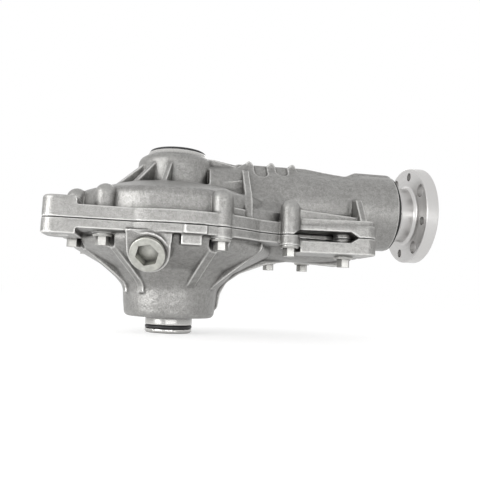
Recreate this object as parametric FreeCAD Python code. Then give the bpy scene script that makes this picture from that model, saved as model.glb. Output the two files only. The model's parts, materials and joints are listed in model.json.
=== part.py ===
import FreeCAD, Part
import math
import os

from FreeCAD import Vector

# Front differential of a four-wheel-drive car, in millimetres.
# Z is the axle axis, +X runs along the pinion to the input flange, and the origin is the
# centre of the shoulder face that the lower output spigot stands out of.

# Casting levels, above the spigot shoulder
pinion_height = 115.0
axle_centre_height = 88.0
split_height = 79.0
shoulder_height = 110.0
roof_height = axle_centre_height + 34.0
upper_boss_height = axle_centre_height + 61.0
boss_crown = 6.8
upper_boss_top = axle_centre_height + 72.3

# Casting radii and walls
flange_radius = 106.0
chamber_radius = 97.5
casting_wall = 6.5
roof_radius = 62.0
upper_boss_radius = 38.2
upper_mouth_radius = 29.2
lower_boss_radius = 44.0
housing_flange_thickness = 11.0
cover_flange_thickness = 8.0
corner_round = 9.0

# Ribs beside the top boss
boss_rib_angles = (-150.0, -127.0, -102.0)
boss_rib_thickness = 5.0
boss_rib_foot = 68.0

# Spigot under the lower boss
spigot_radius = 22.7
spigot_length = 15.2
spigot_bore = 17.5
o_ring_depth = 9.3
o_ring_section = 1.6

# Bell of the lower cover: radius where its wall meets each level below the flange
bell_knee_radius = 61.0
bell_knee_height = 44.0
bell_waist_radius = 46.0
bell_waist_height = 28.0
bell_rib_proud = 5.0
# Ribs of the bell: angle, thickness, height of the blunt end
bell_ribs = ((-153.0, 6.0, 22.0), (-125.5, 6.5, 22.0), (-69.5, 8.5, 29.0), (-36.0, 6.0, 28.0),
             (36.0, 6.0, 28.0), (69.5, 6.5, 28.0), (123.0, 6.5, 22.0), (153.0, 6.0, 22.0))
keel_thickness = 12.0
trough_radius = 56.0

# Pinion neck
neck_end = 219.7
neck_radius = 39.2
neck_root_radius = 38.5
neck_root = 30.0
neck_root_end = 149.0
neck_waist = 170.0
neck_taper = 3.0
neck_ring = 32.0
pinion_room_start = 40.0

# Ridge over the neck; heights are above the pinion axis
band_half = 13.0
band_foot = 33.0
ladder_half = 17.0
ladder_foot = 32.0
ladder_start = 58.0
ladder_end = 121.0
ladder_height = 38.4
ladder_pockets = ((75.0, 88.0, 24.0), (97.0, 109.0, 27.0))
bump_places = (70.0, 92.5, 114.0)
bump_radius = 3.4
bump_lift = -0.6
pad_start = 176.0
pad_height = 39.2
web_half = 20.0
ledge_half = 36.0
pillar_start = 64.0
pillar_turn = -4.0
platform_height = 18.0

# Mounting ear beside the neck, split at the parting plane
ear_start = 104.0
ear_end = 181.0
ear_start_reach = 70.0
ear_reach = 80.0
ear_depth = 44.0
ear_half_thickness = 15.5
ear_step = 9.0
ear_step_depth = 0.9
ear_slot_start = 103.0
ear_slot_end = 163.5
ear_slot_half_height = 4.7
ear_hole_radius = 5.5
ear_hole_x = 169.5
ear_hole_y = -68.0
far_reach = 76.0
cheek_start = 171.0

# Mounting lug at the left end, a squared corner of the flange
lug_left = -108.0
lug_right = -80.0
lug_reach = 100.0
lug_back = -58.0
lug_top = 18.0
lug_bottom = 13.0
lug_x = -95.0
lug_y = -82.0
lug_hole_radius = 6.5

# Cover screws, M8 with a small hexagon and a wide flange
screw_radius = 4.0
screw_clearance = 0.5
screw_engagement = 16.0
screw_hex_flats = 10.5
screw_head_height = 9.5
screw_flange_radius = 8.8
screw_flange_thickness = 2.2
screw_boss_radius = 9.2
screw_circle = flange_radius - 7.0
screw_pad = 2.0
screw_spot_gap = 0.9
screw_angles = (-153.0, -127.5, -68.0, 68.0, 126.5, 153.0)
ear_screws = ((101.5, -68.0), (156.0, -56.0))
far_screws = ((110.0, 64.0), (147.0, 56.0))
dowel_radius = 5.0
dowel_length = 14.0
dowel_angles = (-97.0, 97.0)

# Filler plug, M24 with a hexagon socket, on a boss of the bell
plug_centre = (-22.0, 8.0 - flange_radius, 54.0)
plug_lean_down = 27.0
plug_lean_left = 12.0
plug_boss_radius = 17.5
plug_boss_depth = 24.0
plug_thread_radius = 12.0
plug_collar_radius = 14.6
plug_collar_height = 3.6
plug_socket_flats = 17.0
plug_socket_depth = 9.0
plug_length = 13.0
plug_washer_thickness = 1.2

# Bevel gears: ring gear and drive pinion
ring_teeth = 43
pinion_teeth = 13
ring_pitch_radius = 80.0
final_face_width = 24.0
final_pressure_angle = 22.5
final_ring_addendum = 0.6
final_pinion_addendum = 1.25
final_root_clearance = 0.25
final_thinning = 0.4
ring_bore = 53.0
ring_back_height = 69.0

# Bevel gears inside the carrier
side_teeth = 16
spider_teeth = 10
side_pitch_radius = 24.0
inner_face_width = 10.5
inner_pressure_angle = 25.0
inner_side_addendum = 0.6
inner_spider_addendum = 1.0
inner_root_clearance = 0.25
inner_thinning = 0.3

# Carrier
carrier_radius = 45.0
carrier_cavity_radius = 35.0
carrier_cavity_half_height = 24.5
carrier_wall = 8.0
carrier_flange_radius = 71.0
carrier_flange_thickness = 7.0
carrier_window_half_width = 19.0
ring_screw_circle = 61.5
ring_screw_count = 10
ring_screw_radius = 4.0
ring_screw_depth = 11.0
ring_screw_head_radius = 6.5
ring_screw_head_height = 5.0
cross_pin_radius = 8.0
lock_pin_radius = 2.0
output_bore = 12.5
side_hub_radius = 17.0
side_hub_length = 8.0
shaft_bore = 14.0
thrust_washer = 0.9
running_clearance = 0.06
seat_gap = 0.05

# Bearings: bore radius, outer radius, width, rollers
upper_bearing = (17.5, 31.0, 18.0, 14)
lower_bearing = (20.0, 37.5, 20.0, 15)
head_bearing = (17.5, 32.0, 20.0, 13)
tail_bearing = (16.0, 31.0, 18.0, 13)
roller_clearance = 0.12
cup_half_angle = 15.0
upper_bearing_start = axle_centre_height + 48.0
lower_bearing_start = 16.0
head_bearing_start = 92.0
tail_bearing_start = 166.0
shim_thickness = 1.2

# Pinion shaft, input flange and nut
pinion_shank_radius = 14.0
pinion_spline_radius = 12.0
sleeve_thickness = 3.0
input_flange_face = 255.1
input_flange_thickness = 12.6
input_flange_radius = 50.0
input_bolt_circle = 82.0
small_hole_radius = 4.3
large_hole_radius = 6.5
first_hole_angle = 15.0
hub_radius = 28.5
hub_front = 221.5
dust_seat_radius = 26.0
dust_seat_length = 4.0
hub_sleeve_radius = 19.0
hub_sleeve_start = 188.0
nut_flats = 30.0
nut_height = 13.0
nut_recess_radius = 22.0

# Seals
upper_seal_rim = 3.0
lower_seal_height = 7.0
pinion_seal_width = 9.0
seal_shell = 1.2
seal_lip_gap = 0.3

origin = Vector(0, 0, 0)
axis_x = Vector(1, 0, 0)
axis_y = Vector(0, 1, 0)
axis_z = Vector(0, 0, 1)


def outline(corners):
    """Closed wire in the XY plane through (x, y, radius) corners, each corner rounded by its radius."""
    points = [Vector(c[0], c[1], 0) for c in corners]
    radii = [c[2] if len(c) > 2 else 0.0 for c in corners]
    count = len(points)
    starts, ends, middles = [], [], []
    for i in range(count):
        here = points[i]
        back = (points[i - 1] - here).normalize()
        ahead = (points[(i + 1) % count] - here).normalize()
        half = back.getAngle(ahead) / 2
        if radii[i] > 0 and abs(math.cos(half)) > 1e-6:
            reach = radii[i] / math.tan(half)
            bisector = (back + ahead).normalize()
            centre = here + bisector * (radii[i] / math.sin(half))
            starts.append(here + back * reach)
            ends.append(here + ahead * reach)
            middles.append(centre - bisector * radii[i])
        else:
            starts.append(here)
            ends.append(here)
            middles.append(None)
    edges = []
    for i in range(count):
        if middles[i] is not None:
            edges.append(Part.Arc(starts[i], middles[i], ends[i]).toShape())
        following = starts[(i + 1) % count]
        if (following - ends[i]).Length > 1e-6:
            edges.append(Part.LineSegment(ends[i], following).toShape())
    return Part.Wire(edges)


def turned(corners):
    """Solid turned about Z from (radius, height, round) corners."""
    face = Part.Face(outline(corners))
    face.rotate(origin, axis_x, 90)
    return face.revolve(origin, axis_z, 360)


def plate(corners, bottom, top):
    """Flat plate with the given plan outline between two heights."""
    face = Part.Face(outline(corners))
    face.translate(Vector(0, 0, bottom))
    return face.extrude(Vector(0, 0, top - bottom))


def upright(corners, thickness):
    """Plate standing in the XZ plane, centred on it, from (x, z, round) corners."""
    face = Part.Face(outline(corners))
    face.rotate(origin, axis_x, 90)
    face.translate(Vector(0, thickness / 2, 0))
    return face.extrude(Vector(0, -thickness, 0))


def rod(radius, bottom, top, x=0.0, y=0.0):
    return Part.makeCylinder(radius, top - bottom, Vector(x, y, bottom))


def tube(inner, outer, bottom, top):
    return rod(outer, bottom, top).cut(rod(inner, bottom - 1, top + 1))


def hexagon(flats, bottom, top):
    corner = flats / math.sqrt(3)
    points = [(corner * math.cos(math.radians(60 * i)), corner * math.sin(math.radians(60 * i)))
              for i in range(6)]
    return plate(points, bottom, top)


def on_pinion_axis(shape):
    """Lay a solid built about Z along the pinion axis, its heights becoming X."""
    shape.rotate(origin, axis_y, 90)
    shape.translate(Vector(0, 0, pinion_height))
    return shape


def turned_copy(shape, angle, centre=origin, axis=axis_z):
    copy = shape.copy()
    copy.rotate(centre, axis, angle)
    return copy


def around(shape, count, axis=axis_z, centre=origin, first=0.0):
    return [turned_copy(shape, first + 360.0 * i / count, centre, axis) for i in range(count)]


def polar(radius, angle):
    return radius * math.cos(math.radians(angle)), radius * math.sin(math.radians(angle))


def screw_places():
    """Plan positions of the cover screws and the underside that each head bears on."""
    low = split_height - cover_flange_thickness - screw_pad
    places = [polar(screw_circle, a) + (low,) for a in screw_angles]
    places += [(x, y, low) for x, y in ear_screws[:1]]
    return places + [(x, y, split_height - ear_half_thickness - screw_pad / 2)
                     for x, y in ear_screws[1:] + far_screws]


# Bevel gearing

def pitch_angle(teeth, mate):
    return math.atan2(teeth, mate)


def involute(angle):
    return math.tan(angle) - angle


class BevelGear:
    """Straight bevel gear about Z with its apex at the origin and its large end towards +Z."""

    def __init__(self, teeth, mate, pitch_radius, width, pressure, addendum, dedendum, shift, thinning):
        self.teeth = teeth
        self.cone = pitch_angle(teeth, mate)
        self.distance = pitch_radius / math.sin(self.cone)
        self.inner = (self.distance - width) / self.distance
        self.module = 2 * pitch_radius / teeth
        self.tip = addendum * self.module
        self.root = -dedendum * self.module
        self.pressure = math.radians(pressure)
        self.virtual = pitch_radius / math.cos(self.cone)
        arc = self.module * (math.pi / 2 + 2 * shift * math.tan(self.pressure)) - thinning
        self.half_arc = arc / 2 / self.virtual

    def at(self, height, scale=1.0):
        """Radius and height of a point on the back cone, scaled towards the apex."""
        r = self.distance * math.sin(self.cone) + height * math.cos(self.cone)
        z = self.distance * math.cos(self.cone) - height * math.sin(self.cone)
        return r * scale, z * scale

    def half_angle(self, height):
        """Half the tooth's angle about the gear's own axis at a height over the pitch cone."""
        base = self.virtual * math.cos(self.pressure)
        radius = max(self.virtual + height, base)
        angle = self.half_arc + involute(self.pressure) - involute(math.acos(base / radius))
        return angle / math.cos(self.cone)

    def tooth(self, centre, steps):
        """One tooth as a wedge of flat faces that all point at the apex."""
        sink = self.root - 0.8 * self.module
        top = self.tip * 1.2
        heights = [sink] + [self.root + (self.tip - self.root) * i / steps for i in range(steps)] + [top]
        middle = Vector(math.sin(self.cone) * math.cos(centre),
                        math.sin(self.cone) * math.sin(centre), math.cos(self.cone))
        rays = []
        for side, order in ((-1, heights), (1, list(reversed(heights)))):
            for h in order:
                r, z = self.at(h)
                turn = centre + side * self.half_angle(min(h, self.tip))
                rays.append(Vector(r * math.cos(turn), r * math.sin(turn), z))
        near_at = self.distance * self.inner * 0.85
        far_at = self.distance * 1.12
        near = [p * (near_at / p.dot(middle)) for p in rays]
        far = [p * (far_at / p.dot(middle)) for p in rays]
        faces = [Part.Face(Part.makePolygon(near + near[:1])), Part.Face(Part.makePolygon(far + far[:1]))]
        for i in range(len(rays)):
            j = (i + 1) % len(rays)
            faces.append(Part.Face(Part.makePolygon([near[i], near[j], far[j], far[i], near[i]])))
        return Part.makeSolid(Part.makeShell(faces))

    def teeth_ring(self, steps, space_at_zero=True):
        """All teeth trimmed to the tooth zone, with a space or a tooth centred on +X."""
        sink = self.root - 0.5 * self.module
        zone = turned([self.at(self.tip), self.at(sink), self.at(sink, self.inner),
                       self.at(self.tip, self.inner)])
        first = 0.5 if space_at_zero else 0.0
        wedges = [self.tooth(2 * math.pi * (i + first) / self.teeth, steps) for i in range(self.teeth)]
        return [zone.common(w) for w in wedges]


def final_gears():
    shift = (final_pinion_addendum - final_ring_addendum) / 2
    ring = BevelGear(ring_teeth, pinion_teeth, ring_pitch_radius, final_face_width, final_pressure_angle,
                     final_ring_addendum, final_pinion_addendum + final_root_clearance,
                     -shift, final_thinning)
    pinion = BevelGear(pinion_teeth, ring_teeth, ring_pitch_radius * pinion_teeth / ring_teeth,
                       final_face_width, final_pressure_angle, final_pinion_addendum,
                       final_ring_addendum + final_root_clearance, shift, final_thinning)
    return ring, pinion


def inner_gears():
    shift = (inner_spider_addendum - inner_side_addendum) / 2
    side = BevelGear(side_teeth, spider_teeth, side_pitch_radius, inner_face_width, inner_pressure_angle,
                     inner_side_addendum, inner_spider_addendum + inner_root_clearance,
                     -shift, inner_thinning)
    spider = BevelGear(spider_teeth, side_teeth, side_pitch_radius * spider_teeth / side_teeth,
                       inner_face_width, inner_pressure_angle, inner_spider_addendum,
                       inner_side_addendum + inner_root_clearance, shift, inner_thinning)
    return side, spider


def ring_gear():
    """Ring gear with its teeth facing up, bored and drilled for the carrier screws."""
    gear, _ = final_gears()
    back = pinion_height - ring_back_height
    outer_root = gear.at(gear.root)
    inner_root = gear.at(gear.root, gear.inner)
    body = turned([(ring_bore, back), (outer_root[0] + 1.5, back, 1.5), outer_root, inner_root,
                   (ring_bore, inner_root[1] + 2.0)])
    body = body.fuse(gear.teeth_ring(2))
    tapped = rod(ring_screw_radius + seat_gap, back - ring_screw_depth, back, ring_screw_circle)
    body = body.cut(Part.makeCompound(around(tapped, ring_screw_count, first=18)))
    body.rotate(origin, axis_x, 180)
    body.translate(Vector(0, 0, pinion_height))
    return body.removeSplitter()


def drive_pinion():
    """Pinion head and its stepped shaft, from the head bearing seat to the nut thread."""
    _, gear = final_gears()
    large = gear.at(gear.root)
    small = gear.at(gear.root, gear.inner)
    head_end = large[1] + 5.0
    bearing_end = head_bearing_start + head_bearing[2] - seat_gap
    tail_end = tail_bearing_start + tail_bearing[2]
    spline_end = input_flange_face - nut_height
    body = turned([(0, small[1] - 1.0), (small[0] - 2.0, small[1] - 1.0), small, large, (large[0], head_end),
                   (head_bearing[0] + 5.0, head_end), (head_bearing[0] + 5.0, head_bearing_start - seat_gap),
                   (head_bearing[0], head_bearing_start - seat_gap), (head_bearing[0], bearing_end),
                   (tail_bearing[0], bearing_end), (tail_bearing[0], tail_end),
                   (pinion_shank_radius, tail_end), (pinion_shank_radius, spline_end - 26.0),
                   (pinion_spline_radius, spline_end - 26.0), (pinion_spline_radius, spline_end),
                   (pinion_spline_radius - 1.0, spline_end + nut_height + 2.0, 1.0),
                   (0, spline_end + nut_height + 2.0)])
    body = body.fuse(gear.teeth_ring(3, space_at_zero=False))
    return on_pinion_axis(body.removeSplitter())


def side_gear():
    """Upper side gear about Z, apex at the origin, with a splined bore for an output shaft."""
    gear, _ = inner_gears()
    large = gear.at(gear.root)
    small = gear.at(gear.root, gear.inner)
    back = carrier_cavity_half_height - thrust_washer - seat_gap
    rim = gear.at(0.0)[0]
    body = turned([
        (output_bore, small[1] - 1.5), (small[0], small[1] - 1.5), small, large, (rim, large[1] + 1.0),
        (rim - 1.0, back), (side_hub_radius, back), (side_hub_radius, back + side_hub_length),
        (output_bore, back + side_hub_length)])
    body = body.fuse(gear.teeth_ring(2))
    groove = Part.makeBox(output_bore + 1.2, 1.0, 60, Vector(0, -0.5, 0))
    body = body.cut(Part.makeCompound(around(groove, 16)))
    bore = rod(output_bore, 0, 60)
    return body.cut(bore).removeSplitter()


def spider_gear():
    """Spider gear about Z, apex at the origin, with a domed back that runs on its washer."""
    _, gear = inner_gears()
    large = gear.at(gear.root)
    small = gear.at(gear.root, gear.inner)
    dome = carrier_cavity_radius - thrust_washer - seat_gap
    bore = cross_pin_radius + running_clearance
    rim = gear.at(0.0)[0]
    body = turned([(bore, small[1] - 1.0), (small[0], small[1] - 1.0), small, large, (rim, large[1] + 2.0),
                   (rim, dome), (bore, dome)])
    body = body.common(Part.makeSphere(dome))
    body = body.fuse(gear.teeth_ring(3, space_at_zero=False))
    return body.cut(rod(bore, 0, carrier_radius)).removeSplitter()


def spider_washer():
    """Dished washer between a spider gear's dome and the carrier's cavity."""
    _, gear = inner_gears()
    outer = carrier_cavity_radius - seat_gap / 2
    shell = Part.makeSphere(outer).cut(Part.makeSphere(outer - thrust_washer))
    reach = gear.at(0.0)[0] - 1.0
    ring = tube(cross_pin_radius + running_clearance, reach, 5, carrier_cavity_radius)
    return shell.common(ring)


# Bearings

def bearing(size):
    """Cup, cone, rollers and cage of a tapered roller bearing from z = 0 up, its apex below."""
    bore, outer, width, count = size
    thickness = outer - bore
    cup_race = outer - 0.22 * thickness
    cone_race = bore + 0.24 * thickness
    apex = cup_race / math.tan(math.radians(cup_half_angle)) - width / 2
    cup_angle = math.radians(cup_half_angle)
    cone_angle = math.atan(cone_race / (apex + width / 2))

    def race(angle, z):
        return math.tan(angle) * (apex + z)

    cup_end = width - 1.5
    cup = turned([(race(cup_angle, 0), 0), (outer, 0), (outer, cup_end),
                  (race(cup_angle, cup_end), cup_end)])
    lip = width - 2.2
    lip_radius = race(cone_angle, width) + 1.6
    cone = turned([(bore, 1.0), (race(cone_angle, 1.0), 1.0), (race(cone_angle, lip), lip),
                   (lip_radius, lip), (lip_radius, width), (bore, width)])
    axis_angle = (cup_angle + cone_angle) / 2
    roller_angle = (cup_angle - cone_angle) / 2
    direction = Vector(math.sin(axis_angle), 0, math.cos(axis_angle))
    start = (apex + 3.0) / math.cos(axis_angle)
    end = (apex + width - 3.7) / math.cos(axis_angle)
    apex_point = Vector(0, 0, -apex)

    def roller(gap, extra):
        near = (start - extra) * math.tan(roller_angle) - gap
        far = (end + extra) * math.tan(roller_angle) - gap
        length = end - start + 2 * extra
        return Part.makeCone(near, far, length, apex_point + direction * (start - extra), direction)

    middle = (math.tan(cup_angle) + math.tan(cone_angle)) / 2
    low, high = 1.2, width - 1.0
    half = 0.7
    cage = turned([(middle * (apex + low) - half, low), (middle * (apex + low) + half, low),
                   (middle * (apex + high) + half, high), (middle * (apex + high) - half, high)])
    cage = cage.cut(Part.makeCompound(around(roller(-roller_clearance, roller_clearance), count)))
    rollers = Part.makeCompound(around(roller(roller_clearance, 0.0), count))
    return {"cup": cup, "cone": cone, "rollers": rollers, "cage": cage}


def flipped(shapes, width):
    """Turn a bearing end for end in its own length."""
    for shape in shapes.values():
        shape.rotate(Vector(0, 0, width / 2), axis_x, 180)
    return shapes


def raised(shapes, height):
    for shape in shapes.values():
        shape.translate(Vector(0, 0, height))
    return shapes


def shim(size, start):
    """Flat ring behind a bearing's cup."""
    outer = size[1]
    return tube(outer - 6.0, outer - seat_gap, start, start + shim_thickness)


# Castings

def bar(corners, start, end):
    """Bar along X between two stations, from (y, z, round) corners of its section."""
    face = Part.Face(outline(corners))
    face.rotate(origin, Vector(1, 1, 1), 120)
    face.translate(Vector(start, 0, 0))
    return face.extrude(Vector(end - start, 0, 0))


def both_sides(shape):
    return [shape, shape.mirror(origin, axis_y)]


def above_pinion(corners):
    """Corners given with heights above the pinion axis, moved to casting heights."""
    return [(c[0], pinion_height + c[1]) + tuple(c[2:]) for c in corners]


def barrel():
    """Round body of the neck, from the chamber to its machined end."""
    return on_pinion_axis(turned([
        (0, neck_root), (neck_root_radius, neck_root), (neck_root_radius, ladder_end, 30),
        (neck_radius - neck_taper, neck_waist, 30), (neck_radius, neck_end - neck_ring, 20),
        (neck_radius, neck_end), (0, neck_end)]))


def neck_band():
    """Raised band along the top of the neck that ends in a flat pad."""
    section = bar(above_pinion([
        (-band_foot, 0), (-band_foot, 14), (-band_half, pad_height, 3), (band_half, pad_height, 3),
        (band_foot, 14), (band_foot, 0)]), ladder_start, neck_end)
    side = upright(above_pinion([
        (ladder_start, 0), (ladder_start, ladder_height), (ladder_end + 6, ladder_height + 1, 8),
        (neck_root_end, ladder_height - 2.7, 20), (pad_start - 6, pad_height - 6, 5),
        (pad_start + 6, pad_height, 5), (neck_end - 3, pad_height, 2), (neck_end, pad_height - 2),
        (neck_end, 0)]), 2 * band_foot)
    return section.common(side)


def ladder():
    """Rail over the neck's root with three round bumps across its crest."""
    section = bar(above_pinion([
        (-ladder_foot, 10), (-ladder_foot + 3, 22), (-ladder_half, ladder_height, 3),
        (ladder_half, ladder_height, 3), (ladder_foot - 3, 22), (ladder_foot, 10)]),
        ladder_start, ladder_end)
    side = upright(above_pinion([
        (ladder_start, 0), (ladder_start, ladder_height - 5, 3), (ladder_start + 7, ladder_height, 3),
        (ladder_end - 4, ladder_height, 3), (ladder_end, ladder_height - 8), (ladder_end, 0)]),
        2 * ladder_foot)
    reach = ladder_half + 2
    crest = pinion_height + ladder_height + bump_lift
    bumps = [Part.makeCylinder(bump_radius, 2 * reach, Vector(x, -reach, crest), axis_y)
             for x in bump_places]
    return section.common(side).fuse(bumps)


def ladder_hollows():
    """Rounded pockets in both faces of the rail, whose floors stay clear of the bearing's bore."""
    top = ladder_height + bump_radius
    clear = -ladder_foot - 9
    outside = bar(above_pinion([(-10, top + 1), (-24, 25.5), (clear, 10), (clear, top + 1)]),
                  ladder_start, ladder_end)
    pockets = []
    for left, right, floor in ladder_pockets:
        pocket = upright(above_pinion([(left, top), (left, floor, 5), (right, floor, 5), (right, top)]),
                         4 * ladder_foot)
        pockets += both_sides(pocket.common(outside))
    return pockets


def flank_section(x, foot, bulge, valley, rail, rail_height):
    """Section across the flanks at one station, as half widths from the flange up to the rail."""
    half = [(foot, split_height), (foot, split_height + 7), (bulge, pinion_height - 15),
            (valley, pinion_height - 4), (rail, pinion_height + rail_height)]
    corners = [(-y, z) for y, z in half] + [(y, z) for y, z in reversed(half)]
    points = [Vector(x, y, z) for y, z in corners]
    return Part.makePolygon(points + points[:1])


def flanks():
    """Sides that spread from the ladder down to the parting flange."""
    stations = [flank_section(40, 82, 76, 58, 30, 8), flank_section(64, 80, 70, 52, 24, 22),
                flank_section(92, 66, 60, 46, 25, 25), flank_section(121, 52, 42, 36, 27, 24)]
    lofts = [Part.makeLoft([a, b], True, True) for a, b in zip(stations, stations[1:])]
    return lofts[0].fuse(lofts[1:])


def flange_plan():
    """Plan outline of the parting flange beyond the round chamber."""
    far_end = far_screws[1][0] + screw_boss_radius + 2.0
    return [
        (10.0, -flange_radius + 4.0), (44.0, -flange_radius + 10.0, 8), (66.0, -ear_start_reach - 10.0, 20),
        (ear_start - 8.0, -ear_start_reach + 2.0, 12), (ear_end, -ear_reach, 9),
        (ear_end, -neck_radius + 4.0, 6), (far_end, neck_radius, 10), (far_end, far_reach - 8.0, 10),
        (far_screws[0][0], far_reach, 20), (10.0, flange_radius - 4.0)]


def ear_plan(inset=0.0):
    """Plan outline of the thick ear, which slants outwards to the neck's end."""
    return [(ear_start, -ear_depth + 10.0), (ear_start, -ear_start_reach + inset, 5),
            (ear_end - inset, -ear_reach + inset, 9), (ear_end - inset, -ear_depth + 10.0)]


def corner_plan():
    """Plan outline that squares the round flange off around the left lug."""
    return [(-35.0, -lug_reach), (lug_left, -lug_reach, 10), (lug_left, lug_back, 12), (-84.0, -50.0),
            (-60.0, -60.0)]


def lug_plan():
    return [(lug_right, -lug_reach), (lug_left, -lug_reach, 10), (lug_left, lug_back, 12),
            (lug_right, lug_back)]


def round_boss(x, y, bottom, top, radius):
    """Screw boss with a domed top."""
    dome = Part.makeSphere(radius, Vector(x, y, top - radius))
    return rod(radius, bottom, top - radius, x, y).fuse(dome)


def gusset(profile, thickness, angle):
    rib = upright(profile, thickness)
    rib.rotate(origin, axis_z, angle)
    return rib


def chamber_body():
    """Ring gear chamber with its sloping roof and the boss on top."""
    rim = upper_boss_height + boss_crown
    return turned([
        (0, split_height), (chamber_radius, split_height),
        (chamber_radius - 1.5, shoulder_height, corner_round), (roof_radius, roof_height, 14),
        (upper_boss_radius + 0.6, roof_height + 3.0, 5), (upper_boss_radius, rim - 2.5, 8),
        (upper_mouth_radius + 2.0, rim), (upper_mouth_radius + 1.0, rim + 0.4),
        (upper_mouth_radius, upper_boss_top, 0.8), (0, upper_boss_top)])


def boss_ribs():
    """Straight triangular ribs between the chamber's roof and the top boss."""
    sink = roof_height - 12.0
    profile = [(25, sink), (boss_rib_foot, sink), (boss_rib_foot, roof_height - 4.0),
               (upper_boss_radius, upper_boss_height - 4.0, 2), (25, upper_boss_height - 4.0)]
    ribs = []
    for angle in boss_rib_angles:
        ribs += both_sides(gusset(profile, boss_rib_thickness, angle))
    return ribs


def web_to_boss():
    """Webs that tie the ladder to the top boss and the roof."""
    wing = upright(above_pinion([(25, 0), (25, 39), (35, 39), (53, 35, 6), (63, 26), (63, 0)]), 2 * web_half)
    crest = upright(above_pinion([(25, 0), (25, 42), (36, 42), (58, 38), (70, 38), (70, 0)]), web_half)
    ledge = upright(above_pinion([(20, 6), (20, 10), (26, 11), (62, 18), (62, 14)]), 2 * ledge_half)
    return [wing, crest, ledge]


def flank_ribs():
    """Pillar, platform, curb and cheek that stand on each side of the neck's root."""
    pillar = bar(above_pinion([(-15, 34), (-28, 29), (-77, -7, 6), (-81, -25), (-15, -25)]),
                 pillar_start, pillar_start + 6.5)
    pillar.rotate(Vector(pillar_start, 0, 0), axis_z, pillar_turn)
    platform = plate([
        (40, -60), (40, -flange_radius + 10, 3), (pillar_start - 5, -82, 5), (pillar_start - 5, -60)],
        split_height, split_height + platform_height)
    curb = upright(above_pinion([(ear_start + 8, -30), (ear_start + 8, -9.5), (cheek_start + 2, -14),
                                 (cheek_start + 2, -30)]), 5.0)
    curb.translate(Vector(0, -50.0, 0))
    cheek = bar(above_pinion([(-30, 6), (-47, 4, 3), (-60, -17), (-60, -30), (-30, -30)]),
                cheek_start, cheek_start + 6.5)
    return both_sides(pillar) + both_sides(platform) + [curb, cheek]


def housing_bosses():
    """Screw bosses that rise beside the chamber wall, and the left lug."""
    top = shoulder_height + 2.0
    bosses = []
    for angle in screw_angles:
        x, y = polar(screw_circle, angle)
        bosses.append(round_boss(x, y, split_height, top, screw_boss_radius))
    for x, y in (ear_screws[0], far_screws[0]):
        bosses.append(round_boss(x, y, split_height, top - 1.0, screw_boss_radius))
    lug = plate(lug_plan(), split_height, split_height + lug_top)
    lug = lug.makeFillet(2.5, [e for e in lug.Edges if e.BoundBox.ZMin > split_height + lug_top - 0.1])
    return bosses + [lug]


def housing_ear():
    """Upper half of the ear, its upper part set back a little all round."""
    step = split_height + ear_step
    return [plate(ear_plan(), split_height, step),
            plate(ear_plan(ear_step_depth), split_height, split_height + ear_half_thickness)]


def upper_housing():
    flange_top = split_height + housing_flange_thickness
    shape = chamber_body().fuse([
        rod(flange_radius, split_height, flange_top), plate(flange_plan(), split_height, flange_top),
        plate(corner_plan(), split_height, flange_top), barrel(), neck_band(), ladder(), flanks()])
    shape = shape.fuse(housing_bosses() + boss_ribs() + web_to_boss() + flank_ribs() + housing_ear())
    shape = shape.cut(ear_slot())
    ear_x, ear_y = ear_screws[1]
    shape = shape.fuse(rod(screw_boss_radius, split_height, split_height + ear_half_thickness, ear_x, ear_y))

    shape = shape.cut(housing_cavity() + ladder_hollows())
    shape = shape.cut(below_split(head_bearing_start - 4.0))
    holes = [rod(screw_radius + seat_gap, split_height - 1.0, split_height + screw_engagement, x, y)
             for x, y, _ in screw_places()]
    holes += dowel_holes()
    holes.append(rod(lug_hole_radius, 0, split_height + lug_top + 1.0, lug_x, lug_y))
    holes.append(rod(ear_hole_radius, 0, split_height + ear_half_thickness + 1.0, ear_hole_x, ear_hole_y))
    return shape.cut(holes).removeSplitter()


def below_split(end):
    """Everything under the parting plane, up to a station along the neck."""
    side = 4 * flange_radius
    return Part.makeBox(side, side, split_height, Vector(end - side, -side / 2, 0))


def dowel_places():
    return [polar(screw_circle - 1.0, angle) for angle in dowel_angles]


def dowel_holes():
    reach = dowel_length / 2 + seat_gap
    return [rod(dowel_radius + seat_gap, split_height - reach, split_height + reach, x, y)
            for x, y in dowel_places()]


def ear_slot():
    """Slot through the ear along the parting plane, pointed at both ends and open to the outside."""
    low, high = split_height - ear_slot_half_height, split_height + ear_slot_half_height
    slot = upright([(ear_slot_start, split_height), (ear_slot_start + 7, low, 2), (ear_slot_end - 7, low, 2),
                    (ear_slot_end, split_height), (ear_slot_end - 7, high, 2),
                    (ear_slot_start + 7, high, 2)],
                   ear_reach - ear_depth + 10.0)
    slot.translate(Vector(0, -(ear_reach + ear_depth + 10.0) / 2, 0))
    return slot


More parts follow.
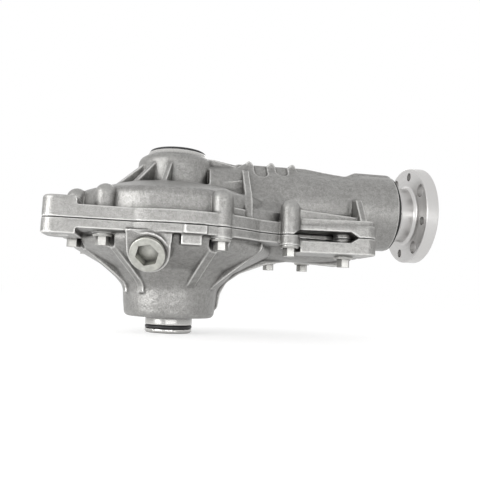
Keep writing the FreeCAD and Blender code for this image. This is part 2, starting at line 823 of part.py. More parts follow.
def housing_cavity():
    """Everything bored or cored out of the upper housing."""
    inner = chamber_radius - casting_wall
    bearing_top = upper_bearing_start + upper_bearing[2]
    ceiling = roof_height - casting_wall
    relief = upper_bearing[1] + 1.5
    chamber = turned([
        (0, split_height - 1), (inner, split_height - 1),
        (inner - 1.0, shoulder_height - casting_wall, corner_round), (roof_radius - 8.0, ceiling, 4),
        (relief, roof_height + 0.5, 2), (relief, roof_height + 2.0), (0, roof_height + 2.0)])
    bore = rod(upper_bearing[1], roof_height, bearing_top + shim_thickness)
    mouth = rod(upper_seal_radius(), bearing_top + shim_thickness + 2.0, upper_boss_top + 1)
    passage = rod(shaft_bore + 4.0, upper_bearing_start, upper_boss_top)

    head_end = head_bearing_start + head_bearing[2] + shim_thickness
    tail_end = tail_bearing_start + tail_bearing[2]
    throat = tail_bearing[1] - 4.0
    bores = turned([
        (0, pinion_room_start), (head_bearing[1], pinion_room_start), (head_bearing[1], head_end),
        (head_bearing[1] - 6.0, head_end), (throat, tail_bearing_start - 3.0), (throat, tail_bearing_start),
        (tail_bearing[1], tail_bearing_start), (tail_bearing[1], tail_end + 8.0),
        (pinion_seal_radius(), tail_end + 8.0), (pinion_seal_radius(), neck_end + 1.0), (0, neck_end + 1.0)])
    return [chamber, bore, mouth, passage, on_pinion_axis(bores)]


def upper_seal_radius():
    return shaft_bore + 10.0


def pinion_seal_radius():
    return neck_radius - 6.0


def bell_outer():
    lift = cover_flange_thickness
    return turned([
        (0, 0), (lower_boss_radius - 1.0, 0, 5), (lower_boss_radius + 0.5, 12.0, 20),
        (bell_waist_radius, bell_waist_height, 14), (bell_knee_radius, bell_knee_height, 14),
        (chamber_radius - 1.0, split_height - lift - 8.0, 10), (chamber_radius, split_height),
        (0, split_height)])


def bell_cavity():
    bearing_end = lower_bearing_start + lower_bearing[2]
    seat = lower_bearing_start - shim_thickness
    rim = chamber_radius - casting_wall
    return turned([
        (0, seat), (lower_bearing[1], seat), (lower_bearing[1], bearing_end + 2.0),
        (lower_bearing[1] + 1.0, bell_knee_height + 1.0, 4),
        (bell_knee_radius - 1.0, bell_knee_height + casting_wall, 6),
        (rim, split_height - cover_flange_thickness - 2.0, 8), (rim, split_height + 1.0),
        (0, split_height + 1.0)])


def bell_rib(angle, thickness, end_height):
    """Rib down the bell, from the flange to its blunt end on the lower boss."""
    flange_bottom = split_height - cover_flange_thickness
    core = lower_boss_radius - 6.0
    profile = [(screw_circle, flange_bottom + 1.0), (screw_circle, flange_bottom - 6.0, 8),
               (bell_knee_radius + bell_rib_proud, bell_knee_height - 2.0, 16),
               (bell_waist_radius + bell_rib_proud - 1.5, bell_waist_height + 2.0, 10),
               (bell_waist_radius + 2.0, end_height), (core, end_height), (core, flange_bottom + 1.0)]
    return gusset(profile, thickness, angle)


def plug_direction():
    down, left = math.radians(plug_lean_down), math.radians(plug_lean_left)
    return Vector(-math.sin(left) * math.cos(down), -math.cos(left) * math.cos(down), -math.sin(down))


def along_plug(shape):
    """Place a solid built on +Z, mouth at z = 0, at the filler plug's seat."""
    turn = FreeCAD.Rotation(axis_z, plug_direction())
    shape.Placement = FreeCAD.Placement(Vector(*plug_centre), turn).multiply(shape.Placement)
    return shape


def plug_boss():
    """Boss under the filler plug, whose sides run straight up into the flange."""
    x, _, z = plug_centre
    top = split_height - cover_flange_thickness + 1.0
    block = upright([(x - plug_boss_radius - 1.5, top), (x - plug_boss_radius, z), (x + plug_boss_radius, z),
                     (x + plug_boss_radius + 1.0, top)], 26.0)
    block.translate(Vector(0, -flange_radius + 15.0, 0))
    behind_seat = along_plug(rod(flange_radius, -flange_radius / 2, 0.0))
    return along_plug(rod(plug_boss_radius, -plug_boss_depth, 0.0)).fuse(block.common(behind_seat))


def keel():
    """Middle rib and trough of the cover, under the pinion neck."""
    end = ear_end + 1.0
    top = split_height - 1.0
    rib = upright([(30, 8), (lower_boss_radius + 2.0, 8, 4), (bell_waist_radius + 2.5, 24, 10), (54, 35, 12),
                   (67, 44.5, 10), (95, 55.5, 30), (117, 59.5, 20), (ear_end - 12, 56.5, 12), (end, 63, 5),
                   (end, top), (30, top)], keel_thickness)
    trough = upright([(50, 52), (97, 58, 20), (150, 60, 10), (end, 64), (end, top), (50, top)],
                     2 * trough_radius)
    slope = Part.makeCylinder(trough_radius, end - 50.0, Vector(50, 0, pinion_height), axis_x)
    return [rib, trough.common(slope)]


def neck_room():
    """Room for the neck's barrel, with an oil channel under it that stops short of the ear's end."""
    close = Part.makeCylinder(neck_root_radius + 0.5, ear_end, Vector(30, 0, pinion_height), axis_x)
    channel = Part.makeCylinder(trough_radius - casting_wall, ear_end - 45.0, Vector(30, 0, pinion_height),
                                axis_x)
    return [close, channel]


def number_pads():
    """Two plain raised pads at the cover's near edge."""
    low = split_height - cover_flange_thickness
    pad = Part.makeBox(17.0, 14.0, 10.0, Vector(3.5, -flange_radius + 2.5, low - 9.0))
    block = Part.makeBox(18.0, 8.0, 7.0, Vector(6.0, -flange_radius - 1.5, low))
    return [pad, block]


def lower_cover():
    flange_bottom = split_height - cover_flange_thickness
    ear_bottom = split_height - ear_half_thickness
    spigot = turned([(0, -spigot_length), (spigot_radius - 1.5, -spigot_length),
                     (spigot_radius, 1.5 - spigot_length), (spigot_radius, 1.0), (0, 1.0)])
    shape = bell_outer().fuse([
        rod(flange_radius, flange_bottom, split_height), plate(flange_plan(), flange_bottom, split_height),
        plate(corner_plan(), flange_bottom, split_height),
        plate(lug_plan(), split_height - lug_bottom, split_height),
        plate(ear_plan(), ear_bottom, split_height), spigot])
    shape = shape.fuse([bell_rib(*rib) for rib in bell_ribs] + keel())

    shape = shape.cut(ear_slot())
    bosses = [rod(screw_boss_radius, bottom, split_height, x, y) for x, y, bottom in screw_places()]
    shape = shape.fuse(bosses + number_pads() + [plug_boss()])

    shape = shape.cut([bell_cavity()] + neck_room())
    holes = dowel_holes()
    for x, y, bottom in screw_places():
        holes.append(rod(screw_radius + screw_clearance, bottom - 1.0, split_height + 1.0, x, y))
        holes.append(rod(screw_flange_radius + screw_spot_gap, bottom - 14.0, bottom, x, y))
    holes.append(rod(lug_hole_radius, 0, split_height + 1.0, lug_x, lug_y))
    holes.append(rod(ear_hole_radius, 0, split_height + 1.0, ear_hole_x, ear_hole_y))
    holes.append(Part.makeBox(4 * flange_radius, 4 * flange_radius, flange_radius,
                              Vector(-2 * flange_radius, -2 * flange_radius, split_height)))
    holes.append(along_plug(rod(plug_thread_radius + seat_gap, -60.0, 1.0)))
    holes.append(rod(spigot_bore, -spigot_length - 1.0, lower_bearing_start))
    holes.append(o_ring_groove())
    return shape.cut(holes).removeSplitter()


def o_ring_groove():
    half = o_ring_section + 0.3
    return tube(spigot_radius - 2 * o_ring_section - seat_gap, spigot_radius + 5.0, -o_ring_depth - half,
                -o_ring_depth + half)


def spigot_o_ring():
    return Part.makeTorus(spigot_radius - o_ring_section, o_ring_section, Vector(0, 0, -o_ring_depth))


# Fasteners and seals

def flange_screw(x, y, underside, length):
    shank = rod(screw_radius, underside, underside + length)
    low = underside - screw_flange_thickness
    collar = turned([(0, low), (screw_flange_radius - 0.8, low), (screw_flange_radius, underside - 0.6),
                     (screw_flange_radius, underside), (0, underside)])
    head = hexagon(screw_hex_flats, underside - screw_head_height, underside - 1.0)
    screw = shank.fuse([collar, head])
    screw.translate(Vector(x, y, 0))
    return screw.removeSplitter()


def cover_screws():
    deep = screw_engagement - 2.0
    return Part.makeCompound([flange_screw(x, y, bottom, split_height - bottom + deep)
                              for x, y, bottom in screw_places()])


def cover_dowels():
    low, high = split_height - dowel_length / 2, split_height + dowel_length / 2
    return Part.makeCompound([rod(dowel_radius, low, high, x, y) for x, y in dowel_places()])


def filler_plug():
    seat = plug_washer_thickness
    top = seat + plug_collar_height
    collar = turned([(0, seat), (plug_collar_radius, seat), (plug_collar_radius, top, 0.8), (0, top)])
    shank = rod(plug_thread_radius, seat - plug_length, seat)
    plug = collar.fuse(shank)
    plug = plug.cut(hexagon(plug_socket_flats, top - plug_socket_depth, top + 1.0))
    return along_plug(plug)


def filler_plug_washer():
    return along_plug(tube(plug_thread_radius + 0.3, plug_collar_radius - 0.6, 0.0, plug_washer_thickness))


def lip_seal(outer, shaft, bottom, height):
    """Oil seal: a stiff shell with a lip that runs just clear of the shaft."""
    lip = shaft + seal_lip_gap
    top = bottom + height
    return turned([
        (outer, bottom), (outer, top, 0.6), (lip + 2.4, top, 0.4), (lip + 2.4, top - seal_shell),
        (outer - 2.2, top - seal_shell - 0.6), (outer - 2.2, bottom + 2.2), (lip + 3.0, bottom + 2.2),
        (lip, bottom + 1.4), (lip, bottom + 0.4), (lip + 2.0, bottom)])


def upper_output_seal():
    bottom = upper_bearing_start + upper_bearing[2] + shim_thickness + 2.0
    seal = lip_seal(upper_seal_radius(), shaft_bore, bottom, upper_boss_top - bottom + 1.5)
    low, top = upper_boss_top + seat_gap, upper_boss_top + upper_seal_rim
    inner = upper_seal_radius() - 3.0
    outer = upper_mouth_radius - 1.2
    collar = turned([(inner, low), (outer, low), (outer - 0.3, top - 0.8, 1.0),
                     (upper_seal_radius(), top, 1.0), (inner, top)])
    return seal.fuse(collar).removeSplitter()


def lower_output_seal():
    return lip_seal(spigot_bore, shaft_bore - 1.0, -spigot_length + 1.5, lower_seal_height)


def pinion_seal():
    """Seal in the neck's mouth with a rubber rim that shows as a black ring at the neck's end."""
    radius = pinion_seal_radius()
    start = neck_end - pinion_seal_width
    body = lip_seal(radius, hub_sleeve_radius, start, pinion_seal_width)
    low, top = neck_end + seat_gap, neck_end + 1.6
    rim = turned([(radius - 3.0, low), (neck_radius - 0.3, low, 0.3), (neck_radius - 0.9, top, 0.6),
                  (radius - 3.0, top)])
    plug = tube(radius - 3.0, radius, neck_end - 0.5, neck_end + 0.1)
    return on_pinion_axis(body.fuse([rim, plug]).removeSplitter())


# Carrier group

def carrier_case():
    low = ring_back_height - carrier_flange_thickness
    top = axle_centre_height + carrier_cavity_half_height + carrier_wall
    lower_seat = lower_bearing_start + lower_bearing[2]
    upper_end = upper_bearing_start + upper_bearing[2]
    lower_journal, upper_journal = lower_bearing[0], upper_bearing[0]
    pilot = ring_bore - seat_gap
    outer = turned([
        (shaft_bore, lower_bearing_start), (lower_journal, lower_bearing_start), (lower_journal, lower_seat),
        (lower_journal + 4.0, lower_seat), (lower_journal + 5.0, low - 8.0, 8),
        (carrier_radius + 4.0, low, 4), (carrier_flange_radius, low),
        (carrier_flange_radius, ring_back_height), (pilot, ring_back_height),
        (pilot, ring_back_height + 5.0), (carrier_radius, ring_back_height + 6.0),
        (carrier_radius, top - 8.0, 6), (carrier_radius - 14.0, top, 4), (upper_journal + 4.0, top + 2.0, 2),
        (upper_journal + 4.0, upper_bearing_start), (upper_journal, upper_bearing_start),
        (upper_journal, upper_end), (shaft_bore, upper_end)])
    cavity = Part.makeSphere(carrier_cavity_radius, Vector(0, 0, axle_centre_height))
    half = carrier_cavity_half_height
    slab = rod(carrier_radius * 2, axle_centre_height - half, axle_centre_height + half)
    hub_reach = half - thrust_washer + side_hub_length + 1.0
    hub_bore = rod(side_hub_radius + running_clearance, axle_centre_height - hub_reach,
                   axle_centre_height + hub_reach)
    pin_bore = Part.makeCylinder(cross_pin_radius + seat_gap, 3 * carrier_radius,
                                 Vector(-1.5 * carrier_radius, 0, axle_centre_height), axis_x)
    side = carrier_window_half_width
    sill, lintel = axle_centre_height - 13.0, axle_centre_height + 19.0
    window = upright([(-side, sill, 5), (side, sill, 5), (side, lintel, 8), (-side, lintel, 8)],
                     3 * carrier_radius)
    screw_hole = rod(ring_screw_radius + 0.4, low - 1, ring_back_height + 1, ring_screw_circle)
    holes = around(screw_hole, ring_screw_count, first=18)
    body = outer.cut([cavity.common(slab), hub_bore, pin_bore, window] + holes)
    return body.cut(lock_pin(seat_gap)).removeSplitter()


def lock_pin(extra=0.0):
    """Roll pin that crosses the cross pin and stops it sliding out."""
    x = (carrier_radius + carrier_cavity_radius) / 2
    bottom = axle_centre_height - 12.0
    return rod(lock_pin_radius + extra, bottom, axle_centre_height + 12.0 + extra, x)


def cross_pin():
    pin = Part.makeCylinder(cross_pin_radius, 2 * carrier_radius - 2.0,
                            Vector(-carrier_radius + 1.0, 0, axle_centre_height), axis_x)
    return pin.cut(lock_pin(seat_gap))


def ring_gear_screws():
    low = ring_back_height - carrier_flange_thickness
    screw = rod(ring_screw_radius, low, ring_back_height + ring_screw_depth - 1.0, ring_screw_circle)
    head = rod(ring_screw_head_radius, low - ring_screw_head_height, low, ring_screw_circle)
    socket = hexagon(7.0, low - ring_screw_head_height - 1.0, low - ring_screw_head_height + 3.0)
    socket.translate(Vector(ring_screw_circle, 0, 0))
    screw = screw.fuse(head).cut(socket)
    return Part.makeCompound(around(screw, ring_screw_count, first=18))


def side_thrust_washer():
    return tube(side_hub_radius + running_clearance, side_hub_radius + 7.0,
                carrier_cavity_half_height - thrust_washer, carrier_cavity_half_height)


# Input group

def input_flange():
    """Round companion flange with four small and four large holes on one circle."""
    back = input_flange_face - input_flange_thickness
    seat = input_flange_face - nut_height
    bore = pinion_spline_radius + seat_gap
    dust_end = hub_front + dust_seat_length
    body = turned([
        (bore, hub_sleeve_start), (hub_sleeve_radius, hub_sleeve_start), (hub_sleeve_radius, hub_front),
        (dust_seat_radius, hub_front), (dust_seat_radius, dust_end), (hub_radius, dust_end, 2),
        (hub_radius, back - 3.0, 2), (hub_radius + 2.0, back, 2), (input_flange_radius, back, 1.2),
        (input_flange_radius, input_flange_face, 0.8), (nut_recess_radius + 4.0, input_flange_face),
        (nut_recess_radius, seat + 3.0), (nut_recess_radius, seat), (bore, seat)])
    holes = []
    for i in range(8):
        x, y = polar(input_bolt_circle / 2, first_hole_angle + 45.0 * i)
        radius = small_hole_radius if i % 2 == 0 else large_hole_radius
        holes.append(rod(radius, back - 1, input_flange_face + 1, -x, -y))
    step = rod(pinion_shank_radius + seat_gap, hub_sleeve_start - 1, seat - 26.0)
    return on_pinion_axis(body.cut(holes + [step]).removeSplitter())


def pinion_nut():
    seat = input_flange_face - nut_height
    nut = hexagon(nut_flats, seat, input_flange_face - 1.0).fuse(rod(nut_flats / 2 + 3.0, seat, seat + 2.5))
    bore = rod(pinion_spline_radius + seat_gap, seat - 1, input_flange_face)
    return on_pinion_axis(nut.cut(bore).removeSplitter())


def spacer_sleeve():
    start = head_bearing_start + head_bearing[2]
    end = tail_bearing_start + 1.0
    middle = (start + end) / 2
    bore = tail_bearing[0] + seat_gap
    outer = bore + sleeve_thickness
    return on_pinion_axis(turned([
        (bore, start), (outer, start), (outer, middle - 9.0, 4), (outer + 3.0, middle, 6),
        (outer, middle + 9.0, 4), (outer, end), (bore, end)]))


def dust_ring():
    """Pressed ring on the flange hub that throws dirt off the seal."""
    end = hub_front + dust_seat_length
    start = end - 1.5
    bore = dust_seat_radius + seat_gap
    rim = neck_radius - 6.0
    return on_pinion_axis(turned([(bore, start), (rim, start, 0.5), (rim, end, 0.5), (bore, end)]))


def at_axle_centre(shape):
    shape.translate(Vector(0, 0, axle_centre_height))
    return shape


def all_parts():
    parts = {
        "upper_housing": upper_housing(),
        "lower_cover": lower_cover(),
        "cover_screws": cover_screws(),
        "cover_dowels": cover_dowels(),
        "filler_plug": filler_plug(),
        "filler_plug_washer": filler_plug_washer(),
        "spigot_o_ring": spigot_o_ring(),
        "upper_output_seal": upper_output_seal(),
        "lower_output_seal": lower_output_seal(),
        "pinion_seal": pinion_seal(),
        "carrier_case": carrier_case(),
        "ring_gear": ring_gear(),
        "ring_gear_screws": ring_gear_screws(),
        "cross_pin": cross_pin(),
        "cross_pin_lock": lock_pin(),
        "drive_pinion": drive_pinion(),
        "input_flange": input_flange(),
        "pinion_nut": pinion_nut(),
        "spacer_sleeve": spacer_sleeve(),
        "dust_ring": dust_ring(),
    }
    parts["upper_side_gear"] = at_axle_centre(side_gear())
    parts["lower_side_gear"] = at_axle_centre(turned_copy(side_gear(), 180, axis=axis_x))
    parts["upper_thrust_washer"] = at_axle_centre(side_thrust_washer())
    parts["lower_thrust_washer"] = at_axle_centre(turned_copy(side_thrust_washer(), 180, axis=axis_x))
    for name, angle in (("front", 90), ("rear", -90)):
        parts["spider_gear_" + name] = at_axle_centre(turned_copy(spider_gear(), angle, axis=axis_y))
        parts["spider_washer_" + name] = at_axle_centre(turned_copy(spider_washer(), angle, axis=axis_y))

    bearings = {
        "upper_bearing": raised(bearing(upper_bearing), upper_bearing_start),
        "lower_bearing": raised(flipped(bearing(lower_bearing), lower_bearing[2]), lower_bearing_start),
        "head_bearing": raised(flipped(bearing(head_bearing), head_bearing[2]), head_bearing_start),
        "tail_bearing": raised(bearing(tail_bearing), tail_bearing_start),
    }
    for name, pieces in bearings.items():
        for piece, shape in pieces.items():
            if name in ("head_bearing", "tail_bearing"):
                on_pinion_axis(shape)
            parts[name + "_" + piece] = shape
    parts["upper_bearing_shim"] = shim(upper_bearing, upper_bearing_start + upper_bearing[2])
    parts["lower_bearing_shim"] = shim(lower_bearing, lower_bearing_start - shim_thickness)
    parts["pinion_shim"] = on_pinion_axis(shim(head_bearing, head_bearing_start + head_bearing[2]))
    return parts


os.makedirs("parts", exist_ok=True)
for node, solid in all_parts().items():
    solid.exportStep("parts/" + node + ".step")
    print(node, len(solid.Solids), round(solid.Volume), solid.isValid())
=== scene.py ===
import json
import math

import bpy
import numpy as np
from mathutils import Matrix, Vector

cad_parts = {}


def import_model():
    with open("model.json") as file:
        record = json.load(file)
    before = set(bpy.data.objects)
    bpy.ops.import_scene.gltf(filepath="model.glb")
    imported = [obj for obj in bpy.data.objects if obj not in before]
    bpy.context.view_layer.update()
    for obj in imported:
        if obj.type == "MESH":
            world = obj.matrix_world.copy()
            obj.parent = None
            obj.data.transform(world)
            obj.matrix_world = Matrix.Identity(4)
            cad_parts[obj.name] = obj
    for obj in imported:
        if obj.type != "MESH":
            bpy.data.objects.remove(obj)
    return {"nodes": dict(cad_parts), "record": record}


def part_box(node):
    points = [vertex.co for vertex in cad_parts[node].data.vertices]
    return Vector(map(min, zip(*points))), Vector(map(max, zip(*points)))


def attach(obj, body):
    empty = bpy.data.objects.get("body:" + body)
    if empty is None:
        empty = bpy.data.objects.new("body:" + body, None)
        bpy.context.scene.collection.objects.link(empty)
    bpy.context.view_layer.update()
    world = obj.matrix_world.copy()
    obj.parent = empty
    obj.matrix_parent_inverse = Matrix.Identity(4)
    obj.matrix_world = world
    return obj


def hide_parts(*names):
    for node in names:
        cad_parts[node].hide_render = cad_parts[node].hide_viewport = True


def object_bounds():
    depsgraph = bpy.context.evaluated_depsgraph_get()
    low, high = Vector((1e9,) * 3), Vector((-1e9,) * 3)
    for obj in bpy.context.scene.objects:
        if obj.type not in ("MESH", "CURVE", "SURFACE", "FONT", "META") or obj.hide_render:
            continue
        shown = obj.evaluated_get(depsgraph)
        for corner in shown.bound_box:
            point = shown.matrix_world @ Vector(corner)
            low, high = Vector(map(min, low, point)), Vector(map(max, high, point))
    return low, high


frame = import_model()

# Front differential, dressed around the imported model. Lengths are in metres in the part's own frame.
MM = 0.001
cad_low, cad_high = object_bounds()
nodes = frame["nodes"]
mount = {m["name"]: m for m in frame["record"]["mounts"]}
PINION_Z = mount["input_small_holes"]["pos_m"][2]
SPLIT_Z = mount["ear_hole"]["pos_m"][2]
NECK_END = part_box("upper_housing")[1].x
BOSS_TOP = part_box("upper_housing")[1].z
FLOOR_Z = cad_low.z

# Camera, fitted to the photograph: place, angles in degrees, focal length and centre in its 480-pixel frame
FRAME_PIXELS = 480
EYE = Vector((-14.4, -540.7, 22.9)) * MM
YAW, PITCH, ROLL = 8.585, 6.773, -2.444
FOCAL_PIXELS = 543.85
CENTRE_U, CENTRE_V = 240.7, 231.2
SENSOR_WIDTH = 36.0
NEAR_CLIP = 10 * MM

# World, floor and lamps. A lamp has a place, the point it aims at, a width and height, and a power in watts.
WORLD_LIGHT, FLOOR_GLOW = 0.55, 0.56
FLOOR_REACH, FLOOR_GREY = 8.0, 0.8
MIDDLE_OF_PART = (0.05, 0.0, 0.08)
LAMPS = {
    "key": ((-1.0, -0.7, 0.45), MIDDLE_OF_PART, (0.4, 0.5), 2.8),
    "low_left": ((-0.42, -0.30, 0.0), (-0.02, 0.0, 0.0), (0.3, 0.3), 2.0),
    "low_front": ((0.12, -0.75, 0.0), (0.10, 0.0, 0.03), (0.7, 0.2), 2.4),
    "back": ((0.3, 0.9, 0.7), MIDDLE_OF_PART, (0.8, 0.4), 1.2),
}

# Softening of the castings: voxels, smoothing, and how firmly a turned face keeps its edges
VOXEL = 0.8 * MM
SMOOTH_PASSES, SMOOTH_FACTOR = 4, 0.5
TURNED_HOLD = 0.8
SPIGOT_TOP = 0.5 * MM
NECK_TURNED = 6 * MM

# Turned faces of the castings as their material sees them: axis, limit and the side that is turned
HOUSING_TURNED = (("X", NECK_END - 0.6 * MM, 1), ("Z", BOSS_TOP - 5 * MM, 1))
COVER_TURNED = (("Z", 0.0, -1),)
TURNED_FADE = 0.4 * MM

# Colours of the casting, as the photograph shows them in plain light
CAST_DARK, CAST_LIGHT = (0.285, 0.281, 0.272), (0.335, 0.331, 0.321)
# The pale fourth colour serves pale grain, and on outer edges both rubbed wear and a painted highlight.
CAST_STAIN, CAST_PALE_AND_HIGHLIGHT = (0.18, 0.177, 0.17), (0.80, 0.795, 0.775)
# The near-black second colour on the next line is painted shade for hollows and creases.
TURNED, PAINTED_SHADE, SEAM = (0.50, 0.495, 0.48), (0.05, 0.048, 0.045), (0.01, 0.01, 0.01)
RUBBER_DARK, RUBBER_LIGHT = (0.012, 0.012, 0.013), (0.03, 0.03, 0.03)

# Shares of metal, and the reach and samples of the painted shade in hollows
CAST_METALLIC, METALLIC = 0.8, 0.9
SHADE_REACH, SHADE_SAMPLES = 9 * MM, 8

# Noise layers: scale, detail and roughness
CLOUD, BLOTCH = (26.0, 4.0, 0.55), (240.0, 4.0, 0.65)
SPECK, GRAIN = (620.0, 2.0, 0.5), (1700.0, 2.0, 0.6)
TOOL_LINES, TURNED_BLOTCH = (2600.0, 2.0, 0.6), (60.0, 3.0, 0.55)
MOTTLE, FINE_GRAIN = (220.0, 3.0, 0.55), (2400.0, 2.0, 0.55)
RUBBER_CLOUD, RUBBER_GRAIN = (300.0, 3.0, 0.55), (1800.0, 3.0, 0.55)

# What a layer is mapped through to give the share of a colour: from low, from high, to low, to high
EVENLY = (0.35, 0.65, 0.0, 1.0)
BLOTCH_SHARE, SPECK_SHARE = (0.38, 0.60, 0.5, 0.0), (0.32, 0.46, 0.5, 0.0)
GRAIN_SHARE, TURNED_BLOTCH_SHARE = (0.5, 0.72, 0.0, 0.25), (0.4, 0.7, 0.0, 0.35)
# The first share on the next line paints shade into hollows: the deeper the hollow, the darker.
HOLLOW_SHADE_SHARE, SEAM_SHARE = (0.3, 0.88, 0.9, 0.0), (-1.0 * MM, -0.6 * MM, 0.0, 0.9)
# The first share on the next line paints shade into creases; the second paints highlights on outer edges,
# partly rubbed wear.
CREASE_SHADE_SHARE, RUBBED_EDGE_HIGHLIGHT_SHARE = (0.455, 0.492, 0.85, 0.0), (0.507, 0.54, 0.0, 0.75)

# Most of a noise lies in this range. Roughness and the cloud of rubber are mapped from it.
NOISE_LOW, NOISE_HIGH = 0.3, 0.7
CAST_ROUGH, TURNED_SMOOTHER = (0.32, 0.46), 0.16
TURNED_ROUGH, RUBBER_ROUGH, PLAIN_ROUGH_RANGE = (0.28, 0.40), (0.35, 0.55), 0.15

# The darker tone of a metal as a share of its colour
LINE_TONE, BLOTCH_TONE, MOTTLE_TONE = 0.8, 0.88, 0.78

# Bumps: strength and depth, and the heights of the casting's grain and blotches beside its specks
CAST_BUMP, TURNED_BUMP = (0.7, 0.35 * MM), (0.25, 0.06 * MM)
PLAIN_BUMP, RUBBER_BUMP = (0.2, 0.05 * MM), (0.2, 0.08 * MM)
GRAIN_HEIGHT, BLOTCH_HEIGHT = 0.5, 1.2

# Metals with turning lines: colour, axis, centre, and the nodes that wear them
TURNED_METALS = {
    "turned_flange": ((0.66, 0.65, 0.64), "X", (0.0, 0.0, PINION_Z), (
        "input_flange", "pinion_nut", "dust_ring", "drive_pinion", "spacer_sleeve")),
    "gear_steel": ((0.45, 0.445, 0.43), "Z", (0.0, 0.0, 0.0), (
        "ring_gear", "upper_side_gear", "lower_side_gear", "spider_gear_front", "spider_gear_rear",
        "cross_pin")),
}

# Plain metals: colour, roughness, share of metal, and the nodes that wear them
BEARINGS = ("upper", "lower", "head", "tail")
RACES = tuple(b + "_bearing_" + part for b in BEARINGS for part in ("cup", "cone", "rollers"))
CAGES = tuple(b + "_bearing_cage" for b in BEARINGS)
PLAIN_METALS = {
    "plated_steel": ((0.50, 0.495, 0.475), 0.3, METALLIC, (
        "cover_screws", "cover_dowels", "ring_gear_screws", "cross_pin_lock")),
    "plug_plating": ((0.52, 0.52, 0.48), 0.3, METALLIC, ("filler_plug",)),
    "soft_washer": ((0.6, 0.59, 0.56), 0.35, METALLIC, ("filler_plug_washer",)),
    "ground_steel": ((0.62, 0.62, 0.62), 0.18, METALLIC, (
        *RACES, "upper_bearing_shim", "lower_bearing_shim", "pinion_shim")),
    "phosphated_cage": ((0.2, 0.2, 0.19), 0.45, METALLIC, CAGES),
    "nodular_iron": ((0.12, 0.12, 0.12), 0.5, 0.6, ("carrier_case",)),
    "thrust_bronze": ((0.5, 0.33, 0.14), 0.35, METALLIC, (
        "upper_thrust_washer", "lower_thrust_washer", "spider_washer_front", "spider_washer_rear")),
}
RUBBERS = ("spigot_o_ring", "upper_output_seal", "lower_output_seal", "pinion_seal")


def camera():
    """Camera at the photograph's viewing angle."""
    yaw, pitch, roll = (math.radians(a) for a in (YAW, PITCH, ROLL))
    forward = Vector((math.sin(yaw) * math.cos(pitch), math.cos(yaw) * math.cos(pitch), math.sin(pitch)))
    level = Vector((math.cos(yaw), -math.sin(yaw), 0))
    down = forward.cross(level)
    right = level * math.cos(roll) + down * math.sin(roll)
    below = down * math.cos(roll) - level * math.sin(roll)
    data = bpy.data.cameras.new("camera")
    data.sensor_width = SENSOR_WIDTH
    data.lens = data.sensor_width * FOCAL_PIXELS / FRAME_PIXELS
    data.shift_x = (FRAME_PIXELS / 2 - CENTRE_U) / FRAME_PIXELS
    data.shift_y = (CENTRE_V - FRAME_PIXELS / 2) / FRAME_PIXELS
    data.clip_start = NEAR_CLIP
    rig = bpy.data.objects.new("camera", data)
    turn = Matrix((right, -below, -forward)).transposed().to_4x4()
    rig.matrix_world = Matrix.Translation(EYE) @ turn
    bpy.context.scene.collection.objects.link(rig)
    bpy.context.scene.camera = rig


class Tree:
    """Emptied node tree of a material or a world, with short calls for what is used often."""

    def __init__(self, owner):
        owner.use_nodes = True
        self.tree = owner.node_tree
        self.tree.nodes.clear()

    def add(self, kind, **values):
        node = self.tree.nodes.new(kind)
        for key, value in values.items():
            setattr(node, key, value)
        return node

    def link(self, source, target):
        self.tree.links.new(source, target)

    def math(self, kind, a, b=None):
        node = self.add("ShaderNodeMath", operation=kind)
        for socket, value in zip(node.inputs, (a, b)):
            if value is None:
                continue
            if isinstance(value, (int, float)):
                socket.default_value = value
            else:
                self.link(value, socket)
        return node.outputs[0]

    def seen_white(self):
        """1 for a ray from the camera, a reflection or glass, 0 for the light that falls on the object."""
        path = self.add("ShaderNodeLightPath")
        seen = path.outputs["Is Camera Ray"]
        for ray in ("Is Glossy Ray", "Is Transmission Ray"):
            seen = self.math("MAXIMUM", seen, path.outputs[ray])
        return seen


